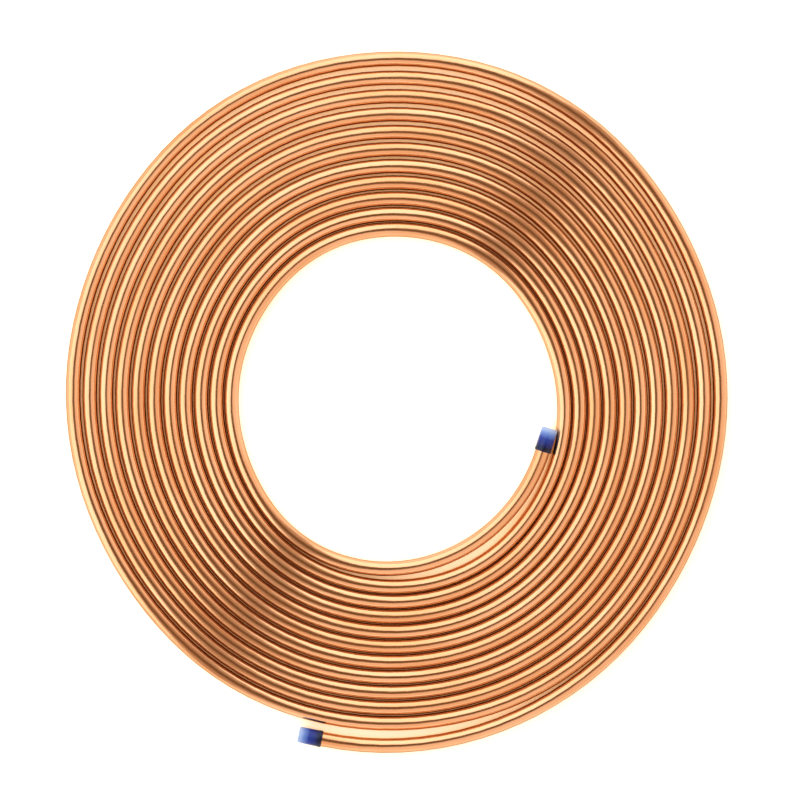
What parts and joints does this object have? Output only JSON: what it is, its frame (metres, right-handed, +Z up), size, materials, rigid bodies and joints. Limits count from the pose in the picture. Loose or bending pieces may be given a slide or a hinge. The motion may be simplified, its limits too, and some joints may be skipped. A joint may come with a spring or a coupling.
{
  "type": "copper tube coil",
  "caption": "Soft copper tube wound into a flat spiral coil with an open eye, both ends closed with push-on caps.",
  "frame": {"origin": "on the coil's axis, in the plane of the floor that the coil lies on", "axes": "+Z up along the coil's axis, +Y towards the loose side of the slightly oval turns, +X to the right of it; the outer end lies near -Y"},
  "size_m": [0.2888, 0.3061, 0.0099],
  "materials": {
    "copper": "bright drawn copper, light drawing lines and a little tarnish",
    "cap": "soft glossy blue vinyl"
  },
  "bodies": {
    "root": {"copper_tube": "copper", "outer_end_cap": "cap", "inner_end_cap": "cap"}
  },
  "joints": []
}
